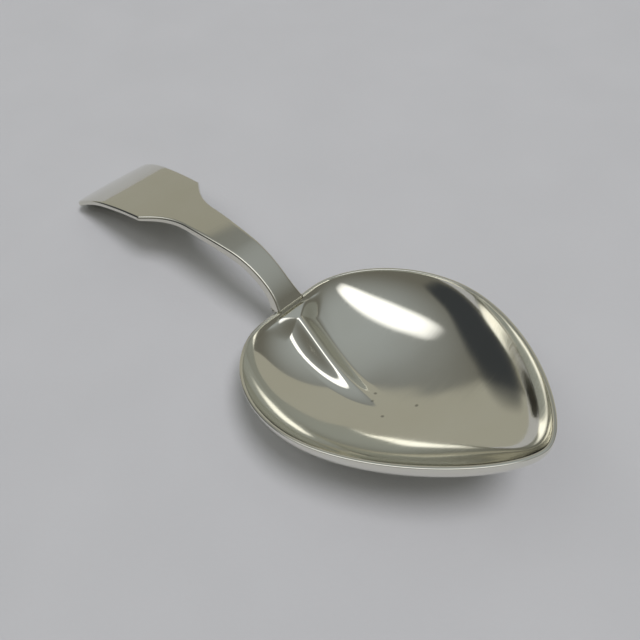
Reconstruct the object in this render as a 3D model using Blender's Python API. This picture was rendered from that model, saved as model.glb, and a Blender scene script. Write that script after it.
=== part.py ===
"""A silver caddy spoon: a raised heart-shaped bowl, an arched fiddle handle and the solder between them.

The three pieces are drawn in the plane of the bowl's rim, with the bowl's point at the origin, +X out through
the point and +Z up. An empty then tips them together until the lobes and the handle's end touch the table.
"""

import math

import bmesh
import bpy
import numpy as np
from mathutils import Vector
from mathutils.geometry import interpolate_bezier

# Bowl, in the plane of its rim
BOWL_LENGTH = 0.04505
BOWL_WIDTH = 0.0346
BOWL_DEPTH = 0.0084
BOWL_WALL = 0.0008
WIDEST_FROM_POINT = 0.02715
DEEPEST_FROM_POINT = 0.0300
LOBE_SPACING = 0.0092
NOTCH_DEPTH = 0.0001
INSIDE_RIM_ANGLE = math.radians(74.0)
OUTSIDE_RIM_ANGLE = math.radians(88.0)
LIP_EASE = 0.0002

# Reach of the outline's curves on either side of its point, its widest place, its lobes and its notch
POINT_REACH = 0.0052
FLANK_REACH = 0.0123
SHOULDER_REACH = 0.0100
LOBE_REACH = 0.0063
NOTCH_REACH = 0.0020

# Fold between the lobes
FOLD_LENGTH = 0.0170
FOLD_HEIGHT = 0.0023
FOLD_FADE = 3.0
FOLD_HALF_WIDTH = 0.0025
FOLD_TIP_HALF_WIDTH = 0.0006
FOLD_CREST_RADIUS = 0.0007
FACET_LENGTH = 0.0017

# Handle, along its upper face from the bowl to the end
HANDLE_LENGTH = 0.0532
RISE_ANGLE = math.radians(62.7)
RISE_LENGTH = 0.0012
BEND_ANGLE = math.radians(51.7)
BEND_RADIUS = 0.0120
ARCH_RADIUS = 0.1030
TURN_DOWN_LENGTH = 0.0110
TURN_DOWN_RADIUS = 0.0410
FOOT_THICKNESS = 0.0022
END_THICKNESS = 0.0009
HANDLE_EASE = 0.00025

# Handle's outline: distance along it and width at each place where the width is set
FOOT_WIDTH = 0.0049
WAIST_FROM_FOOT = 0.0043
WAIST_WIDTH = 0.0039
NECK_FROM_FOOT = 0.0225
NECK_WIDTH = 0.0059
SHOULDER_FROM_FOOT = 0.0315
SHOULDER_WIDTH = 0.0123
END_WIDTH = 0.0154
END_BULGE = 0.0026
CORNER_RADIUS = 0.0012

# Reach of that outline's curves at each place, along the handle and in width
FOOT_REACH = (0.0016, -0.0008)
WAIST_REACH = (0.0015, 0.0)
STEM_REACH = (0.0050, 0.0)
NECK_REACH = (0.0050, 0.0004)
SHOULDER_CURVE_REACH = (0.0014, 0.0014)
SPADE_REACH = (0.0060, 0.0008)
END_REACH = (0.0040, 0.0014)

# Joint and the places worn flat by the table
SOLDER_CLEARANCE = 0.0003
FILLET_HEIGHT = 0.0024
FILLET_EDGE = 0.00025
WEAR = 0.00012

# Fineness of the meshes
POINT_STEPS = 20
LOBE_STEPS = 14
NOTCH_STEPS = 12
BOWL_RINGS = 13
FLARE_STEPS = 5
STEM_STEPS = 15
SHOULDER_STEPS = 10
SPADE_STEPS = 15
CORNER_STEPS = 3
FACE_STEPS = 6
OUTLINE_STEPS = 14
LINE_STEPS = 1000
FILLET_ROWS = 5
REST_STEPS = 60
SHARP_ANGLE = math.radians(40.0)


def remove_all_objects():
    for thing in list(bpy.data.objects):
        bpy.data.objects.remove(thing, do_unlink=True)


def metal(name, colour, roughness):
    """A plain metallic finish."""
    material = bpy.data.materials.new(name)
    material.use_nodes = True
    shader = material.node_tree.nodes["Principled BSDF"]
    shader.inputs["Base Color"].default_value = (*colour, 1.0)
    shader.inputs["Metallic"].default_value = 1.0
    shader.inputs["Roughness"].default_value = roughness
    return material


def loft(name, rings, first_pole=None, last_pole=None):
    """A closed body skinned over rings of equal count, each end closed by a pole or by a cap."""
    mesh = bmesh.new()
    loops = [[mesh.verts.new(point) for point in ring] for ring in rings]
    count = len(loops[0])
    for low, high in zip(loops, loops[1:]):
        for here in range(count):
            there = (here + 1) % count
            mesh.faces.new((low[here], low[there], high[there], high[here]))
    for loop, pole in ((loops[0], first_pole), (loops[-1], last_pole)):
        if pole is None:
            mesh.faces.new(loop)
            continue
        tip = mesh.verts.new(pole)
        for here in range(count):
            mesh.faces.new((loop[here], loop[(here + 1) % count], tip))
    bmesh.ops.recalc_face_normals(mesh, faces=mesh.faces[:])
    data = bpy.data.meshes.new(name)
    mesh.to_mesh(data)
    mesh.free()
    data.shade_smooth()
    data.set_sharp_from_angle(angle=SHARP_ANGLE)
    piece = bpy.data.objects.new(name, data)
    bpy.context.scene.collection.objects.link(piece)
    return piece


# Outline of the bowl

def bezier(start, start_reach, end, end_reach, steps):
    """Points on a curve from start to end, whose handles are given as offsets."""
    knots = [Vector((*knot, 0.0)) for knot in (start, end)]
    handles = [knots[0] + Vector((*start_reach, 0.0)), knots[1] + Vector((*end_reach, 0.0))]
    points = interpolate_bezier(knots[0], handles[0], handles[1], knots[1], steps + 1)
    return np.array([point.to_2d() for point in points])


def rim_outline():
    """The rim's outer edge as a closed loop, drawn for one side and mirrored to the other."""
    half_width = BOWL_WIDTH / 2
    widest = (-WIDEST_FROM_POINT, half_width)
    lobe = (-BOWL_LENGTH, LOBE_SPACING / 2)
    notch = (-BOWL_LENGTH + NOTCH_DEPTH, 0.0)
    flank = bezier((0.0, 0.0), (0.0, POINT_REACH), widest, (FLANK_REACH, 0.0), POINT_STEPS)
    shoulder = bezier(widest, (-SHOULDER_REACH, 0.0), lobe, (0.0, LOBE_REACH), LOBE_STEPS)
    cleft = bezier(lobe, (0.0, -NOTCH_REACH), notch, (0.0, NOTCH_REACH), NOTCH_STEPS)
    half = np.vstack([flank, shoulder[1:], cleft[1:]])
    other_half = half[-2:0:-1] * (1.0, -1.0)
    return np.vstack([half, other_half])


def inset(outline, distance):
    """The outline moved inwards, square to itself."""
    along = np.roll(outline, -1, axis=0) - np.roll(outline, 1, axis=0)
    along /= np.linalg.norm(along, axis=1, keepdims=True)
    inward = np.column_stack([-along[:, 1], along[:, 0]])
    return outline + inward * distance


# Bowl

FOLD_START = -BOWL_LENGTH + NOTCH_DEPTH + BOWL_WALL


def fold_rise(x, y):
    """How far the fold between the lobes stands above the floor.

    Along the bowl it grows from nothing at the notch and fades to nothing at its tip, as the share of its length
    times a power of what is left of it. Across, it falls from a rounded crest on a parabola that ends level with
    the floor. Where it leaves the handle's foot its top is a facet as wide as the foot, which narrows to the crest.
    """
    run = np.clip((x - FOLD_START) / FOLD_LENGTH, 0.0, 1.0)
    highest = 1.0 / (1.0 + FOLD_FADE)
    height = FOLD_HEIGHT * run * (1.0 - run) ** FOLD_FADE / (highest * (1.0 - highest) ** FOLD_FADE)
    half_width = FOLD_HALF_WIDTH * (1.0 - run) + FOLD_TIP_HALF_WIDTH
    facet = np.clip(1.0 - (x - FOLD_START) / FACET_LENGTH, 0.0, 1.0) * FOOT_WIDTH / 2
    aside = np.maximum(np.abs(y) - facet, 0.0)
    round_aside = np.hypot(aside, FOLD_CREST_RADIUS) - FOLD_CREST_RADIUS
    return height * np.clip(1.0 - round_aside / half_width, 0.0, None) ** 2


def bowl_surface(outline, depth, rim_angle):
    """Rings from the rim to the deepest place, which every ring draws in to along an arc, and that place.

    The fold stands on the inside, and on the outside the sheet is drawn up into it.
    """
    centre = -DEEPEST_FROM_POINT
    rings = []
    for angle in np.linspace(rim_angle, 0.0, BOWL_RINGS + 1):
        share = math.sin(angle) / math.sin(rim_angle)
        sunk = (math.cos(angle) - math.cos(rim_angle)) / (1.0 - math.cos(rim_angle))
        x = centre + (outline[:, 0] - centre) * share
        y = outline[:, 1] * share
        floor = np.full(len(outline), -LIP_EASE - (depth - LIP_EASE) * sunk)
        rings.append(np.column_stack([x, y, np.minimum(floor + fold_rise(x, y), -LIP_EASE)]))
    return rings[:-1], rings[-1][0]


def bowl_shape():
    """Rings over the inside, the lip and the outside, with the deepest place on each side of the wall."""
    outer_edge = rim_outline()
    inner_edge = inset(outer_edge, BOWL_WALL)
    inside, inside_pole = bowl_surface(inner_edge, BOWL_DEPTH, INSIDE_RIM_ANGLE)
    outside, outside_pole = bowl_surface(outer_edge, BOWL_DEPTH + BOWL_WALL, OUTSIDE_RIM_ANGLE)
    level = np.zeros(len(outer_edge))
    lip = [np.column_stack([inset(outer_edge, reach), level]) for reach in (BOWL_WALL - LIP_EASE, LIP_EASE)]
    return inside[::-1] + lip, outside, inside_pole, outside_pole


# Handle

def handle_line(distance):
    """Place, direction and upward normal of the handle's upper face at each distance from its foot.

    The line rises straight from the rim, bends over, runs along a long arch and turns down at the end.
    """
    bend_end = RISE_LENGTH + BEND_RADIUS * BEND_ANGLE
    turn_start = HANDLE_LENGTH - TURN_DOWN_LENGTH
    after_bend = RISE_ANGLE - BEND_ANGLE
    before_turn = after_bend - (turn_start - bend_end) / ARCH_RADIUS
    at_end = before_turn - TURN_DOWN_LENGTH / TURN_DOWN_RADIUS
    knots = (0.0, RISE_LENGTH, bend_end, turn_start, HANDLE_LENGTH)
    fine = np.linspace(0.0, HANDLE_LENGTH, LINE_STEPS + 1)
    slope = np.interp(fine, knots, (RISE_ANGLE, RISE_ANGLE, after_bend, before_turn, at_end))
    step = fine[1] - fine[0]
    middle = (slope[1:] + slope[:-1]) / 2
    x = FOLD_START - np.concatenate([[0.0], np.cumsum(np.cos(middle))]) * step
    z = SOLDER_CLEARANCE + np.concatenate([[0.0], np.cumsum(np.sin(middle))]) * step
    turn = np.interp(distance, fine, slope)
    place = np.column_stack([np.interp(distance, fine, x), np.interp(distance, fine, z)])
    onward = np.column_stack([-np.cos(turn), np.sin(turn)])
    upward = np.column_stack([np.sin(turn), np.cos(turn)])
    return place, onward, upward


def handle_half_width(distance):
    """Half the width: a flared foot, a waist, a tapering stem, concave shoulders and a widening end."""
    places = ((0.0, FOOT_WIDTH), (WAIST_FROM_FOOT, WAIST_WIDTH), (NECK_FROM_FOOT, NECK_WIDTH),
              (SHOULDER_FROM_FOOT, SHOULDER_WIDTH), (HANDLE_LENGTH, END_WIDTH))
    reaches = ((FOOT_REACH, WAIST_REACH), (STEM_REACH, NECK_REACH), (NECK_REACH, SHOULDER_CURVE_REACH),
               (SPADE_REACH, END_REACH))
    curves = []
    for start, end, (start_reach, end_reach) in zip(places, places[1:], reaches):
        curve = bezier(start, start_reach, end, (-end_reach[0], -end_reach[1]), OUTLINE_STEPS)
        curves.append(curve[:-1])
    line = np.vstack([*curves, places[-1]])
    half = np.interp(distance, line[:, 0], line[:, 1]) / 2
    into_corner = np.clip(CORNER_RADIUS - (HANDLE_LENGTH - distance), 0.0, CORNER_RADIUS)
    return half - CORNER_RADIUS + np.sqrt(CORNER_RADIUS**2 - into_corner**2)


def section(half_width, thickness):
    """Points round a flat section with eased edges: sideways place and depth below the upper face."""
    flat = np.linspace(-1.0, 1.0, FACE_STEPS + 1) * (half_width - HANDLE_EASE)
    cut = HANDLE_EASE * (1.0 - math.sqrt(0.5))
    upper = np.column_stack([flat, np.zeros(len(flat))])
    right = [(half_width - cut, cut), (half_width, HANDLE_EASE)]
    right += [(half_width, thickness - HANDLE_EASE), (half_width - cut, thickness - cut)]
    lower = np.column_stack([flat[::-1], np.full(len(flat), thickness)])
    left = [(-side, depth) for side, depth in right[::-1]]
    return np.vstack([upper, right, lower, left])


def handle_shape():
    """Rings along the handle: the first is filed level with the rim, the last is eased and bowed outwards."""
    places = (0.0, WAIST_FROM_FOOT, NECK_FROM_FOOT, SHOULDER_FROM_FOOT, HANDLE_LENGTH - CORNER_RADIUS)
    steps = (FLARE_STEPS, STEM_STEPS, SHOULDER_STEPS, SPADE_STEPS)
    runs = [np.linspace(*run, count, endpoint=False) for *run, count in zip(places, places[1:], steps)]
    round_corner = np.linspace(0.0, math.pi / 2, CORNER_STEPS + 1)
    distance = np.concatenate([*runs, HANDLE_LENGTH - CORNER_RADIUS * (1.0 - np.sin(round_corner))])
    place, onward, upward = handle_line(distance)
    half_width = handle_half_width(distance)
    thickness = np.interp(distance, (0.0, SHOULDER_FROM_FOOT), (FOOT_THICKNESS, END_THICKNESS))
    rings = []
    for here in range(len(distance)):
        side, depth = section(half_width[here], thickness[here]).T
        near_end = np.clip(1.0 - (HANDLE_LENGTH - distance[here]) / TURN_DOWN_LENGTH, 0.0, 1.0)
        bow = END_BULGE * near_end * (1.0 - (2 * side / END_WIDTH) ** 2)
        if here == len(distance) - 1:
            middle = thickness[here] / 2
            depth = middle + (depth - middle) * (1.0 - HANDLE_EASE / middle)
        point = place[here] - depth[:, None] * upward[here] + bow[:, None] * onward[here]
        if here == 0:
            point += ((SOLDER_CLEARANCE - point[:, 1]) / onward[here, 1])[:, None] * onward[here]
        rings.append(np.column_stack([point[:, 0], side, point[:, 1]]))
    return rings


# Solder

def fillet_shape(outside):
    """A concave fillet on the bowl's outer wall, filling the corner under the handle's foot."""
    skin = np.array(outside)
    notch = int(np.argmin(np.abs(skin[0][:, 1]) + (skin[0][:, 0] > -WIDEST_FROM_POINT)))
    reach = int(np.searchsorted(np.abs(skin[0][notch:, 1]), FOOT_WIDTH / 2))
    columns = np.arange(notch - reach + 1, notch + reach)
    foot_back = FOLD_START - FOOT_THICKNESS / math.sin(RISE_ANGLE)
    rings = []
    for share in np.linspace(0.0, 1.0, FILLET_ROWS):
        level = -LIP_EASE - FILLET_HEIGHT * share
        wall = np.array([np.interp(-level, -skin[:, column, 2], skin[:, column, 0]) for column in columns])
        side = np.array([np.interp(-level, -skin[:, column, 2], skin[:, column, 1]) for column in columns])
        front = wall - SOLDER_CLEARANCE
        back = np.minimum(front - FILLET_EDGE, front.min() + (foot_back - front.min()) * (1.0 - share) ** 2)
        ring = [(x, y, level) for x, y in zip(front, side)]
        ring += [(x, y, level) for x, y in zip(back[::-1], side[::-1])]
        rings.append(ring)
    return rings


# Rest

def height(points, tilt):
    return points[:, 0] * math.sin(tilt) + points[:, 2] * math.cos(tilt)


def rest_tilt(bowl_points, handle_points):
    """The tilt, found by halving, at which the worn lobes and the handle's end touch one level table."""
    low, high = 0.0, math.pi / 4
    for _ in range(REST_STEPS):
        tilt = (low + high) / 2
        lobes_above = height(bowl_points, tilt).min() + WEAR - height(handle_points, tilt).min()
        if lobes_above > 0.0:
            high = tilt
        else:
            low = tilt
    return tilt


def wear_flat(ring, tilt, level):
    """The ring with all that lay below the level raised to it, square to the table."""
    lift = np.maximum(level - height(ring, tilt), 0.0)
    return ring + lift[:, None] * np.array([math.sin(tilt), 0.0, math.cos(tilt)])


remove_all_objects()

inside, outside, inside_pole, outside_pole = bowl_shape()
handle_rings = handle_shape()
solder_rings = fillet_shape(outside)

bowl_points = np.vstack(outside + [outside_pole[None, :]])
handle_points = np.vstack(handle_rings)
tilt = rest_tilt(bowl_points, handle_points)
table = height(handle_points, tilt).min()
outside = [wear_flat(ring, tilt, table) for ring in outside]
outside_pole = wear_flat(outside_pole[None, :], tilt, table)[0]

bowl = loft("bowl", inside + outside, inside_pole, outside_pole)
handle = loft("handle", handle_rings)
solder = loft("solder_fillet", solder_rings)

bowl.data.materials.append(metal("polished_silver_bowl", (0.78, 0.76, 0.70), 0.10))
handle.data.materials.append(metal("polished_silver_handle", (0.76, 0.75, 0.68), 0.12))
solder.data.materials.append(metal("hard_silver_solder", (0.70, 0.66, 0.58), 0.25))

# The empty stands the spoon on the table, with the middle of its length and width over the origin
every_point = np.vstack([bowl_points, handle_points])
forward = every_point[:, 0] * math.cos(tilt) - every_point[:, 2] * math.sin(tilt)
rest = bpy.data.objects.new("spoon_at_rest", None)
rest.rotation_euler = (0.0, -tilt, 0.0)
rest.location = (-(forward.min() + forward.max()) / 2, 0.0, -table)
bpy.context.scene.collection.objects.link(rest)
for piece in (bowl, handle, solder):
    piece.parent = rest
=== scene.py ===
"""A silver caddy spoon lying on a pale table.

Each piece is worked out in the plane of the bowl's rim, in millimetres, with the bowl's point at the
origin, +X out through the point and +Z up. on_table() then tips it onto the table, in metres, where the
frame has the same piece.
"""

import math

import bpy
import numpy as np
from mathutils import Euler, Matrix, Vector


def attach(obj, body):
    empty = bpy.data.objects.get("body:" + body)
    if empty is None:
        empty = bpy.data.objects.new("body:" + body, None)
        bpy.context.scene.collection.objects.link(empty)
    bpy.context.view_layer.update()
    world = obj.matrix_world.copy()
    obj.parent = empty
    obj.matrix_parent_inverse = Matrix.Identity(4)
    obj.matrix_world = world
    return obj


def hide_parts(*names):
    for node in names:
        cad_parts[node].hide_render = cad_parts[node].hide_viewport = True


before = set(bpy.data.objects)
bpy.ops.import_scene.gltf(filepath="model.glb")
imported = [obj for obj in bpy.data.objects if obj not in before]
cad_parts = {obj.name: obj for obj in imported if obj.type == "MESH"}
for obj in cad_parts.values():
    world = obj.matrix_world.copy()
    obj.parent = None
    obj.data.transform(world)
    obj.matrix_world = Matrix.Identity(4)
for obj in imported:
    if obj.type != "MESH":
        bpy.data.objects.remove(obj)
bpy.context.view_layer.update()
scene = bpy.context.scene

# Bowl
# One sheet of sterling silver, raised with hammers into a heart-shaped bowl and polished. Between its two
# lobes the sheet is pinched up into a fold, and the lobes' undersides are worn flat where the spoon lies.

BOWL_LENGTH = 45.05
BOWL_WIDTH = 34.6
BOWL_DEPTH = 8.4
BOWL_WALL = 0.8
RIM_THICKNESS = 0.5
WIDEST_FROM_POINT = 27.15
DEEPEST_FROM_POINT = 30.0
POINT_WEAR = 0.02
LOBE_SPACING = 9.2
NOTCH_DEPTH = 0.1
INSIDE_RIM_ANGLE = math.radians(74.0)
OUTSIDE_RIM_ANGLE = math.radians(88.0)
LIP_EASE = 0.2
LIP_SQUARENESS = 0.6
POINT_REACH = 5.2
FLANK_REACH = 12.3
SHOULDER_REACH = 10.0
LOBE_REACH = 6.3
NOTCH_REACH = 2.0
FLANK_STEPS = 70
LOBE_STEPS = 60

FOLD_LENGTH = 24.5
FOLD_HEIGHT = 2.6
FOLD_ONSET = 0.6
FOLD_FADE = 3.6
FOLD_LEAN = 2.0
FOLD_HALF_WIDTH = 2.5
FOLD_TIP_HALF_WIDTH = 0.6
FOLD_CREST_RADIUS = 0.7
FACET_LENGTH = 1.7
# Each wave's length, direction and start.
PLANISHING = ((5.3, 0.4, 0.0), (6.1, 1.5, 2.0), (4.7, 2.6, 4.0))
PLANISHING_HEIGHT = 0.0025
INSIDE_ROWS = 130
OUTSIDE_ROWS = 60
LIP_ROWS = 10
FOLD_START = -BOWL_LENGTH + NOTCH_DEPTH + BOWL_WALL
FOOT_WIDTH = 4.9

REST_TILT = math.radians(12.33206)
REST_PLACE = (47.4877, 0.0, 15.7904)
METRES_PER_MM = 0.001

# The material's sizes are in metres. Real polishing scratches are some ten times finer than these, which
# are drawn coarse enough to show.
TARNISH_SIZE = 0.009
TARNISH_DETAIL = 4.0
PITS = (
    (0.0217, -0.0005, 0.0016),
    (0.0225, -0.0019, 0.0019),
    (0.0256, -0.0032, 0.0029),
    (0.0279, 0.0010, 0.0034),
)
PIT_RADIUS = 0.00022
PIT_EDGE = (0.5, 1.5)
PIT_SHADE = 0.5
SCRATCH_WIDTH = 0.00025
SCRATCH_LENGTH = 0.006
SCRATCH_DEPTH = 0.000001
SCRATCH_TURNS = (0.5, 2.0)
WEAR_RANGE = (0.6, 1.4)


def on_table(points):
    """The points turned about the Y axis by the rest tilt, moved to their place and changed to metres.

    Nothing can lie below the table, so what would is raised to it: the wear on the lobes' undersides.
    """
    x, y, z = points[..., 0], points[..., 1], points[..., 2]
    forward = x * math.cos(REST_TILT) - z * math.sin(REST_TILT) + REST_PLACE[0]
    up = x * math.sin(REST_TILT) + z * math.cos(REST_TILT) + REST_PLACE[2]
    return np.stack([forward, y + REST_PLACE[1], np.maximum(up, 0.0)], axis=-1) * METRES_PER_MM


def bezier(start, start_reach, end, end_reach, steps):
    """A cubic curve: each of its four control points weighted by its Bernstein polynomial."""
    t = np.linspace(0.0, 1.0, steps + 1)[:, None]
    start, end = np.array(start), np.array(end)
    controls = (start, start + start_reach, end + end_reach, end)
    weights = ((1 - t) ** 3, 3 * t * (1 - t) ** 2, 3 * t**2 * (1 - t), t**3)
    return sum(weight * control for weight, control in zip(weights, controls))


def rim_outline():
    """The rim's outer edge: three curves from the point to the notch, and the same three mirrored."""
    widest = (-WIDEST_FROM_POINT, BOWL_WIDTH / 2)
    lobe = (-BOWL_LENGTH, LOBE_SPACING / 2)
    notch = (-BOWL_LENGTH + NOTCH_DEPTH, 0.0)
    flank = bezier((-POINT_WEAR, 0.0), (0.0, POINT_REACH), widest, (FLANK_REACH, 0.0), FLANK_STEPS)
    shoulder = bezier(widest, (-SHOULDER_REACH, 0.0), lobe, (0.0, LOBE_REACH), LOBE_STEPS)
    cleft = bezier(lobe, (0.0, -NOTCH_REACH), notch, (0.0, NOTCH_REACH), LOBE_STEPS)
    half = np.vstack([flank, shoulder[1:], cleft[1:]])
    return np.vstack([half, half[-2:0:-1] * (1.0, -1.0)])


def inset(outline, distance):
    """The outline moved inwards, square to the chord between each point's two neighbours."""
    along = np.roll(outline, -1, axis=0) - np.roll(outline, 1, axis=0)
    along /= np.linalg.norm(along, axis=1, keepdims=True)
    return outline + np.column_stack([-along[:, 1], along[:, 0]]) * distance


def fold_rise(x, y):
    """How far the fold stands above the floor.

    Along the bowl it grows from nothing at the notch and fades to nothing at its tip: a power of the share
    of its length times a power of what is left of it. Across, it falls from a rounded crest on a parabola
    that ends level with the floor. Beside the handle's foot its top is a facet that narrows to the crest,
    and further on the crest leans to one side.
    """
    run = np.clip((x - FOLD_START) / FOLD_LENGTH, 0.0, 1.0)
    highest = FOLD_ONSET / (FOLD_ONSET + FOLD_FADE)
    most = highest**FOLD_ONSET * (1.0 - highest) ** FOLD_FADE
    height = FOLD_HEIGHT * run**FOLD_ONSET * (1.0 - run) ** FOLD_FADE / most
    half_width = FOLD_HALF_WIDTH * (1.0 - run) + FOLD_TIP_HALF_WIDTH
    facet = np.clip(1.0 - (x - FOLD_START) / FACET_LENGTH, 0.0, 1.0) * FOOT_WIDTH / 2
    lean = FOLD_LEAN * (1.0 - (1.0 - run) ** 2)
    aside = np.maximum(np.abs(y + lean) - facet, 0.0)
    round_aside = np.hypot(aside, FOLD_CREST_RADIUS) - FOLD_CREST_RADIUS
    return height * np.clip(1.0 - round_aside / half_width, 0.0, None) ** 2


def planished(x, y, share):
    """The planishing hammer's shallow waves: three crossing sine waves that die away at the rim."""
    waves = sum(np.sin((x * math.cos(turn) + y * math.sin(turn)) * 2 * math.pi / length + start)
                for length, turn, start in PLANISHING)
    return PLANISHING_HEIGHT * waves * (1.0 - share**4)


def bowl_skin(outline, depth, rim_angle, rows):
    """One side of the sheet, from the deepest place to the rim.

    The first parameter is an angle on a circular arc, whose sine draws the outline in to the deepest place
    and whose cosine gives the depth. The second runs round the outline. The fold and the waves stand on top.
    """
    angle = np.linspace(0.0, rim_angle, rows)[:, None]
    share = np.sin(angle) / math.sin(rim_angle)
    sunk = (np.cos(angle) - math.cos(rim_angle)) / (1.0 - math.cos(rim_angle))
    x = -DEEPEST_FROM_POINT + (outline[:, 0] + DEEPEST_FROM_POINT) * share
    y = outline[:, 1] * share
    floor = -LIP_EASE - (depth - LIP_EASE) * sunk + planished(x, y, share)
    z = np.minimum(floor + fold_rise(x, y), -LIP_EASE)
    return np.stack([x, y, z], axis=-1)


def bowl_surface():
    """The whole sheet as one grid: up the outside from its deepest place, round the lip, down the inside."""
    outer_edge = rim_outline()
    outside = bowl_skin(outer_edge, BOWL_DEPTH + BOWL_WALL, OUTSIDE_RIM_ANGLE, OUTSIDE_ROWS)
    inside = bowl_skin(inset(outer_edge, RIM_THICKNESS), BOWL_DEPTH, INSIDE_RIM_ANGLE, INSIDE_ROWS)
    turn = np.linspace(0.0, math.pi, LIP_ROWS + 2)[1:-1]
    lip = np.array([
        np.column_stack([
            inset(outer_edge, RIM_THICKNESS * (1.0 - math.cos(angle)) / 2),
            np.full(len(outer_edge), -LIP_EASE + LIP_EASE * math.sin(angle) ** LIP_SQUARENESS),
        ])
        for angle in turn
    ])
    return np.concatenate([outside, lip, inside[::-1]])


def closed_mesh(name, grid):
    """A mesh over a grid whose columns wrap round and whose first and last rows close at their middle."""
    rows, columns = grid.shape[:2]
    poles = np.stack([grid[0].mean(axis=0), grid[-1].mean(axis=0)])
    points = np.concatenate([grid[1:-1].reshape(-1, 3), poles])
    here = np.arange((rows - 2) * columns).reshape(rows - 2, columns)
    there = np.roll(here, -1, axis=1)
    quads = np.stack([here[:-1], there[:-1], there[1:], here[1:]], axis=-1).reshape(-1, 4)
    first = np.column_stack([np.full(columns, len(points) - 2), there[0], here[0]])
    last = np.column_stack([np.full(columns, len(points) - 1), here[-1], there[-1]])
    mesh = bpy.data.meshes.new(name)
    mesh.from_pydata(points.tolist(), [], quads.tolist() + first.tolist() + last.tolist())
    mesh.shade_smooth()
    piece = bpy.data.objects.new(name, mesh)
    scene.collection.objects.link(piece)
    return piece


def linear(code):
    """A hex colour's three sRGB channels turned to linear light, with full alpha."""
    channels = np.array([int(code[at:at + 2], 16) for at in (1, 3, 5)]) / 255
    straight = np.where(channels <= 0.04045, channels / 12.92, ((channels + 0.055) / 1.055) ** 2.4)
    return (*straight.tolist(), 1.0)


def add(tree, kind, sockets=None, **settings):
    """A new node of that kind with its settings. Each socket takes a value, or another node's output."""
    node = tree.nodes.new(kind)
    for name, value in settings.items():
        setattr(node, name, value)
    for name, value in (sockets or {}).items():
        if isinstance(value, bpy.types.NodeSocket):
            tree.links.new(value, node.inputs[name])
        else:
            node.inputs[name].default_value = value
    return node


def polished_silver(name, bright, tarnished, roughness, pits=()):
    """Silver polished by hand for years: a mirror, warm where tarnish is left, with scratches and pits."""
    material = bpy.data.materials.new(name)
    material.use_nodes = True
    tree = material.node_tree
    place = add(tree, "ShaderNodeTexCoord").outputs["Object"]
    cloud = add(tree, "ShaderNodeTexNoise", {
        "Vector": place, "Scale": 1 / TARNISH_SIZE, "Detail": TARNISH_DETAIL})
    tarnish = add(tree, "ShaderNodeMix", {
        "Factor": cloud.outputs["Fac"], 6: linear(bright), 7: linear(tarnished)}, data_type="RGBA")
    colour = tarnish.outputs[2]
    for pit in pits:
        away = add(tree, "ShaderNodeVectorMath", {0: place, 1: pit}, operation="DISTANCE").outputs["Value"]
        shade = add(tree, "ShaderNodeMapRange", {
            "Value": away, "From Min": PIT_EDGE[0] * PIT_RADIUS, "From Max": PIT_EDGE[1] * PIT_RADIUS,
            "To Min": PIT_SHADE, "To Max": 1.0}).outputs["Result"]
        colour = add(tree, "ShaderNodeMix", {"Factor": 1.0, 6: colour, 7: shade},
                     data_type="RGBA", blend_type="MULTIPLY").outputs[2]
    fineness = (1 / SCRATCH_WIDTH, 1 / SCRATCH_LENGTH, 1 / SCRATCH_LENGTH)
    lines = [
        add(tree, "ShaderNodeMapping", {"Vector": place, "Rotation": (0.0, 0.0, turn), "Scale": fineness})
        for turn in SCRATCH_TURNS
    ]
    scratches = [
        add(tree, "ShaderNodeTexNoise", {"Vector": line.outputs["Vector"], "Scale": 1.0}).outputs["Fac"]
        for line in lines
    ]
    crossed = add(tree, "ShaderNodeMath", {0: scratches[0], 1: scratches[1]})
    worn = add(tree, "ShaderNodeMapRange", {
        "Value": crossed.outputs["Value"], "From Min": WEAR_RANGE[0], "From Max": WEAR_RANGE[1],
        "To Min": WEAR_RANGE[0] * roughness, "To Max": WEAR_RANGE[1] * roughness})
    relief = add(tree, "ShaderNodeBump", {"Height": crossed.outputs["Value"], "Distance": SCRATCH_DEPTH})
    shader = tree.nodes["Principled BSDF"]
    shader.inputs["Metallic"].default_value = 1.0
    tree.links.new(colour, shader.inputs["Base Color"])
    tree.links.new(worn.outputs["Result"], shader.inputs["Roughness"])
    tree.links.new(relief.outputs["Normal"], shader.inputs["Normal"])
    return material


bowl = closed_mesh("silver_bowl", on_table(bowl_surface()))
# A bright mirror with a faint warmth, in which a few dark pits show that the silver is old.
bowl_silver = polished_silver("sterling_silver_hand_polished", "#EBEAE2", "#E4E1D4", 0.08, PITS)
bowl.data.materials.append(bowl_silver)
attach(bowl, "root")
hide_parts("bowl")

# Handle
# A strip of sterling silver, cut to a fiddle outline, filed from a thick foot to a thin end and bent to an
# arch. Its foot stands on the bowl's rim at the notch, where it is soldered.

HANDLE_LENGTH = 53.2
RISE_ANGLE = math.radians(62.7)
RISE_LENGTH = 1.2
BEND_ANGLE = math.radians(51.7)
BEND_RADIUS = 12.0
ARCH_RADIUS = 103.0
TURN_DOWN_LENGTH = 11.0
TURN_DOWN_RADIUS = 41.0
FOOT_THICKNESS = 2.2
END_THICKNESS = 0.9
HANDLE_EASE = 0.45
EASE_SHARE = 0.48
WAIST_FROM_FOOT = 4.3
WAIST_WIDTH = 3.9
NECK_FROM_FOOT = 22.5
NECK_WIDTH = 5.9
SHOULDER_FROM_FOOT = 31.5
SHOULDER_WIDTH = 12.3
END_WIDTH = 15.4
END_BULGE = 2.43
CORNER_RADIUS = 1.2
FOOT_REACH = (1.6, -0.8)
WAIST_REACH = (1.5, 0.0)
STEM_REACH = (5.0, 0.0)
NECK_REACH = (5.0, 0.4)
SHOULDER_CURVE_REACH = (1.4, 1.4)
SPADE_REACH = (6.0, 0.8)
END_REACH = (4.0, 1.4)
SOLDER_CLEARANCE = 0.3
LINE_STEPS = 1000
CURVE_STEPS = 40
STATION_COUNTS = (30, 90, 60, 70)
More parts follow.
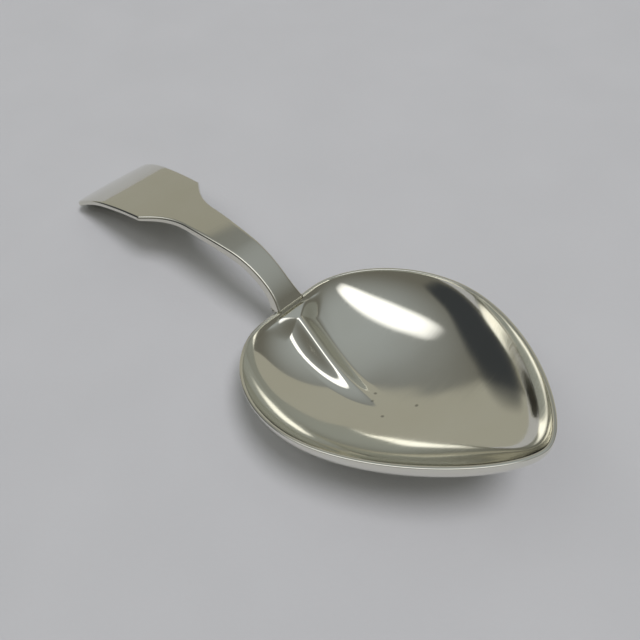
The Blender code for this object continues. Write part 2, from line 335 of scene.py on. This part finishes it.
CORNER_STATIONS = 14
EDGE_POINTS = 9
FACE_POINTS = 26


def handle_line(distance):
    """Place, direction and upward normal along the handle's upper face.

    The face's slope is straight up the rise, falls evenly round the bend, slowly along the arch and faster
    in the turned-down end. Adding up small steps along that slope gives the place.
    """
    bend_end = RISE_LENGTH + BEND_RADIUS * BEND_ANGLE
    turn_start = HANDLE_LENGTH - TURN_DOWN_LENGTH
    after_bend = RISE_ANGLE - BEND_ANGLE
    before_turn = after_bend - (turn_start - bend_end) / ARCH_RADIUS
    at_end = before_turn - TURN_DOWN_LENGTH / TURN_DOWN_RADIUS
    fine = np.linspace(0.0, HANDLE_LENGTH, LINE_STEPS + 1)
    slope = np.interp(fine, (0.0, RISE_LENGTH, bend_end, turn_start, HANDLE_LENGTH),
                      (RISE_ANGLE, RISE_ANGLE, after_bend, before_turn, at_end))
    step = fine[1] - fine[0]
    middle = (slope[1:] + slope[:-1]) / 2
    x = FOLD_START - np.concatenate([[0.0], np.cumsum(np.cos(middle))]) * step
    z = SOLDER_CLEARANCE + np.concatenate([[0.0], np.cumsum(np.sin(middle))]) * step
    turn = np.interp(distance, fine, slope)
    place = np.column_stack([np.interp(distance, fine, x), np.interp(distance, fine, z)])
    onward = np.column_stack([-np.cos(turn), np.sin(turn)])
    upward = np.column_stack([np.sin(turn), np.cos(turn)])
    return place, onward, upward


def handle_half_width(distance):
    """Half the width along the handle, read from four curves, with the end's corners rounded off by arcs."""
    places = ((0.0, FOOT_WIDTH), (WAIST_FROM_FOOT, WAIST_WIDTH), (NECK_FROM_FOOT, NECK_WIDTH),
              (SHOULDER_FROM_FOOT, SHOULDER_WIDTH), (HANDLE_LENGTH, END_WIDTH))
    reaches = ((FOOT_REACH, WAIST_REACH), (STEM_REACH, NECK_REACH), (NECK_REACH, SHOULDER_CURVE_REACH),
               (SPADE_REACH, END_REACH))
    curves = [
        bezier(start, start_reach, end, (-end_reach[0], -end_reach[1]), CURVE_STEPS)[:-1]
        for start, end, (start_reach, end_reach) in zip(places, places[1:], reaches)
    ]
    line = np.vstack([*curves, places[-1]])
    into_corner = np.clip(CORNER_RADIUS - (HANDLE_LENGTH - distance), 0.0, CORNER_RADIUS)
    rounding = CORNER_RADIUS - np.sqrt(CORNER_RADIUS**2 - into_corner**2)
    return np.interp(distance, line[:, 0], line[:, 1]) / 2 - rounding


def handle_surface():
    """A flat section with rounded edges, carried along the handle's line and cut level at the foot.

    The first parameter is the distance along the line and the second runs round the section. Near the end
    the sections bow outwards on a parabola.
    """
    runs = (0.0, WAIST_FROM_FOOT, NECK_FROM_FOOT, SHOULDER_FROM_FOOT, HANDLE_LENGTH - CORNER_RADIUS)
    stations = [
        np.linspace(start, end, count, endpoint=False)
        for start, end, count in zip(runs, runs[1:], STATION_COUNTS)
    ]
    corner_turn = np.linspace(0.0, math.pi / 2, CORNER_STATIONS)
    corner = HANDLE_LENGTH - CORNER_RADIUS * (1.0 - np.sin(corner_turn))
    distance = np.concatenate([*stations, corner])
    place, onward, upward = handle_line(distance)
    half_width = handle_half_width(distance)[:, None]
    thickness = np.interp(distance, (0.0, SHOULDER_FROM_FOOT), (FOOT_THICKNESS, END_THICKNESS))[:, None]
    arc = np.linspace(0.0, math.pi / 2, EDGE_POINTS)
    flat = np.linspace(-1.0, 1.0, FACE_POINTS)[1:-1]
    none, one = np.zeros(len(flat)), np.ones(len(arc))
    reach = np.concatenate([flat, one, one, -flat, -one, -one])
    out = np.concatenate([none, np.sin(arc), np.cos(arc), none, -np.sin(arc), -np.cos(arc)])
    low = np.concatenate([none, 0 * one, one, none + 1, one, 0 * one])
    down = np.concatenate([none, 1 - np.cos(arc), np.sin(arc) - 1, none, np.cos(arc) - 1, 1 - np.sin(arc)])
    ease = np.minimum(HANDLE_EASE, EASE_SHARE * thickness)
    side = reach * (half_width - ease) + ease * out
    depth = low * thickness + ease * down
    near_end = np.clip(1.0 - (HANDLE_LENGTH - distance) / TURN_DOWN_LENGTH, 0.0, 1.0)[:, None]
    bow = END_BULGE * near_end * (1.0 - (2 * side / END_WIDTH) ** 2)
    profile = place[:, None] - depth[..., None] * upward[:, None] + bow[..., None] * onward[:, None]
    level = profile[0, :, 1] / onward[0, 1]
    profile[0] -= level[:, None] * onward[0]
    grid = np.stack([profile[..., 0], side, profile[..., 1]], axis=-1)
    return np.concatenate([grid[:1], grid, grid[-1:]])


handle = closed_mesh("silver_handle", on_table(handle_surface()))
# A slightly softer mirror than the bowl's. Its colour is set about a tenth darker, which dims everything it
# mirrors.
handle_silver = polished_silver("sterling_silver_darker_duller", "#E2E0D7", "#D9D6C8", 0.09)
handle.data.materials.append(handle_silver)
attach(handle, "root")
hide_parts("handle")

# Solder
# A fillet of hard silver solder in the corner between the handle's foot and the bowl's outer wall. It ran
# in hot and was filed to a hollow curve.

FILLET_HEIGHT = 2.4
FILLET_EDGE = 0.05
FILLET_SINK = 0.05
FILLET_ROWS = 24


def fillet_surface():
    """Level slices under the foot.

    Each follows the bowl's wall. From the foot down, its back runs in to the wall on a parabola, and
    towards the sides on a fourth power.
    """
    half_width = FOOT_WIDTH / 2 - HANDLE_EASE
    outer_edge = rim_outline()
    under_foot = (np.abs(outer_edge[:, 1]) < half_width) & (outer_edge[:, 0] < -WIDEST_FROM_POINT)
    share = np.linspace(0.0, 1.0, FILLET_ROWS)[:, None]
    level = -FILLET_HEIGHT * share
    sunk = np.clip(-level - LIP_EASE, 0.0, None) / (BOWL_DEPTH + BOWL_WALL - LIP_EASE)
    level_cosine = math.cos(OUTSIDE_RIM_ANGLE) + sunk * (1.0 - math.cos(OUTSIDE_RIM_ANGLE))
    drawn_in = np.sqrt(1.0 - level_cosine**2) / math.sin(OUTSIDE_RIM_ANGLE)
    wall = -DEEPEST_FROM_POINT + (outer_edge[under_foot, 0] + DEEPEST_FROM_POINT) * drawn_in
    side = outer_edge[under_foot, 1] * drawn_in
    foot_back = FOLD_START - (FOOT_THICKNESS - HANDLE_EASE) / math.sin(RISE_ANGLE)
    rounded = 1.0 - (side / half_width) ** 4
    back = np.minimum(wall - FILLET_EDGE, wall + (foot_back - wall) * rounded * (1.0 - share) ** 2)
    x = np.concatenate([wall + FILLET_SINK, back[:, ::-1]], axis=1)
    y = np.concatenate([side, side[:, ::-1]], axis=1)
    grid = np.stack([x, y, np.broadcast_to(level, x.shape)], axis=-1)
    return np.concatenate([grid[:1], grid, grid[-1:]])


solder = closed_mesh("silver_solder_fillet", on_table(fillet_surface()))
# A duller and yellower line than the silver, which shows where the joint is.
solder_alloy = polished_silver("hard_silver_solder_filed", "#DCD4BE", "#CEC4A8", 0.2)
solder.data.materials.append(solder_alloy)
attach(solder, "root")
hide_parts("solder_fillet")

# Table
# The plain floor: a large sheet of matt pale grey paper that the spoon lies on, and that takes its shadow.
# Its faint clouds and grain keep it from looking like flat paint.

TABLE_HALF_SIZE = 10.0
PAPER_CLOUD_SIZE = 0.02
PAPER_GRAIN_SIZE = 0.0006
PAPER_GRAIN_HEIGHT = 0.00002
PAPER_CLOUD_DETAIL = 2.0
PAPER_GRAIN_DETAIL = 1.0
PAPER_ROUGHNESS = 0.9

corners = [(-TABLE_HALF_SIZE, -TABLE_HALF_SIZE, 0.0), (TABLE_HALF_SIZE, -TABLE_HALF_SIZE, 0.0),
           (TABLE_HALF_SIZE, TABLE_HALF_SIZE, 0.0), (-TABLE_HALF_SIZE, TABLE_HALF_SIZE, 0.0)]
table_mesh = bpy.data.meshes.new("table")
table_mesh.from_pydata(corners, [], [(0, 1, 2, 3)])
table = bpy.data.objects.new("table", table_mesh)
scene.collection.objects.link(table)
paper = bpy.data.materials.new("matt_grey_paper")
paper.use_nodes = True
tree = paper.node_tree
place = add(tree, "ShaderNodeTexCoord").outputs["Object"]
cloud = add(tree, "ShaderNodeTexNoise", {
    "Vector": place, "Scale": 1 / PAPER_CLOUD_SIZE, "Detail": PAPER_CLOUD_DETAIL})
grain = add(tree, "ShaderNodeTexNoise", {
    "Vector": place, "Scale": 1 / PAPER_GRAIN_SIZE, "Detail": PAPER_GRAIN_DETAIL})
tint = add(tree, "ShaderNodeMix", {
    "Factor": cloud.outputs["Fac"], 6: linear("#AEAEAD"), 7: linear("#B5B5B4")}, data_type="RGBA")
relief = add(tree, "ShaderNodeBump", {"Height": grain.outputs["Fac"], "Distance": PAPER_GRAIN_HEIGHT})
shader = tree.nodes["Principled BSDF"]
shader.inputs["Roughness"].default_value = PAPER_ROUGHNESS
tree.links.new(tint.outputs[2], shader.inputs["Base Color"])
tree.links.new(relief.outputs["Normal"], shader.inputs["Normal"])
table.data.materials.append(paper)

# Studio
# A plain studio round the table, for the silver to mirror: a grey surround that pales upwards, one long
# softbox overhead, a pale backdrop behind the handle and one dark card, all with soft edges.

SURROUND_LOW = "#6C6B64"
SURROUND_HIGH = "#A3A8A9"
SURROUND_CHANGES_BETWEEN = (0.25, 1.0)
# Name, azimuth from +X, elevation, half width and half height in degrees, softness of the edge, colour and
# strength.
STUDIO_CARDS = (
    ("backdrop", 130, 0, 55, 36, 0.2, "#A6A59A", 1.0),
    ("dark card", 215, 14, 34, 12, 0.8, "#3A3D40", 1.0),
    ("softbox", 268, 63, 38, 8, 6.0, "#FFFFFF", 2.6),
)

world = bpy.data.worlds.new("studio")
scene.world = world
world.use_nodes = True
tree = world.node_tree
direction = add(tree, "ShaderNodeTexCoord").outputs["Generated"]
height = add(tree, "ShaderNodeSeparateXYZ", {"Vector": direction}).outputs["Z"]
upward_share = add(tree, "ShaderNodeMapRange", {
    "Value": height, "From Min": SURROUND_CHANGES_BETWEEN[0], "From Max": SURROUND_CHANGES_BETWEEN[1]},
    interpolation_type="SMOOTHSTEP").outputs["Result"]
colour = add(tree, "ShaderNodeMix", {
    0: upward_share, 6: linear(SURROUND_LOW), 7: linear(SURROUND_HIGH)}, data_type="RGBA").outputs[2]
for name, azimuth, elevation, half_width, half_height, softness, code, strength in STUDIO_CARDS:
    turn = Euler((0.0, math.radians(-elevation), math.radians(azimuth))).to_matrix()
    reaches = (1.0, math.tan(math.radians(half_width)), math.tan(math.radians(half_height)))
    ahead, side, up = (
        add(tree, "ShaderNodeVectorMath", {0: direction, 1: axis / reach},
            operation="DOT_PRODUCT").outputs["Value"]
        for axis, reach in zip(turn.col, reaches)
    )
    across = add(tree, "ShaderNodeCombineXYZ", {"X": side, "Y": up}).outputs["Vector"]
    flat = add(tree, "ShaderNodeVectorMath", {0: across, 1: ahead}, operation="DIVIDE").outputs["Vector"]
    square = add(tree, "ShaderNodeVectorMath", {0: flat, 1: flat}, operation="MULTIPLY").outputs["Vector"]
    edge = add(tree, "ShaderNodeVectorMath", {0: square, 1: square},
               operation="DOT_PRODUCT").outputs["Value"]
    within = add(tree, "ShaderNodeMapRange", {
        "Value": edge, "From Min": 1.0 - softness, "From Max": 1.0 + softness, "To Min": 1.0, "To Max": 0.0},
        interpolation_type="SMOOTHSTEP").outputs["Result"]
    in_front = add(tree, "ShaderNodeMath", {0: ahead, 1: 0.0}, operation="GREATER_THAN").outputs["Value"]
    cover = add(tree, "ShaderNodeMath", {0: within, 1: in_front}, operation="MULTIPLY").outputs["Value"]
    bright = [channel * strength for channel in linear(code)]
    colour = add(tree, "ShaderNodeMix", {0: cover, 6: colour, 7: bright}, data_type="RGBA").outputs[2]
tree.links.new(colour, tree.nodes["Background"].inputs["Color"])

# Lamp
# One broad lamp high over the bowl's point, which gives the soft shadow on the table. The silver mirrors
# the softbox instead, so the lamp isn't seen in it.

LAMP_AZIMUTH = math.radians(5.0)
LAMP_ELEVATION = math.radians(70.0)
LAMP_SPREAD = math.radians(24.0)
LAMP_STRENGTH = 2.15
LAMP_COLOUR = "#F7F6FF"

lamp = bpy.data.objects.new("studio_lamp", bpy.data.lights.new("studio_lamp", "SUN"))
lamp.data.angle = LAMP_SPREAD
lamp.data.energy = LAMP_STRENGTH
lamp.data.color = linear(LAMP_COLOUR)[:3]
lamp.rotation_euler = Euler((0.0, math.pi / 2 - LAMP_ELEVATION, LAMP_AZIMUTH))
lamp.visible_glossy = False
scene.collection.objects.link(lamp)

# Camera
# A close view from above the bowl's point end, so that the handle runs away to the upper left. Its places
# are in millimetres and its focal length in pixels.

IMAGE_WIDTH_PX = 640
FOCAL_LENGTH_PX = 775
CAMERA_PLACE = (66.194, -45.994, 89.329)
CAMERA_LOOKS_AT = (10.572, -0.054, 8.0)
CAMERA_ROLL = math.radians(-5.145)
CAMERA_NEAREST = 0.005

lens = bpy.data.cameras.new("camera")
lens.lens = FOCAL_LENGTH_PX / IMAGE_WIDTH_PX * lens.sensor_width
lens.clip_start = CAMERA_NEAREST
camera = bpy.data.objects.new("camera", lens)
camera.location = Vector(CAMERA_PLACE) * METRES_PER_MM
looking = Vector(CAMERA_LOOKS_AT) - Vector(CAMERA_PLACE)
level_view = looking.to_track_quat("-Z", "Y").to_matrix()
camera.rotation_euler = (level_view @ Matrix.Rotation(CAMERA_ROLL, 3, "Z")).to_euler()
scene.collection.objects.link(camera)
scene.camera = camera
scene.view_settings.view_transform = "Standard"
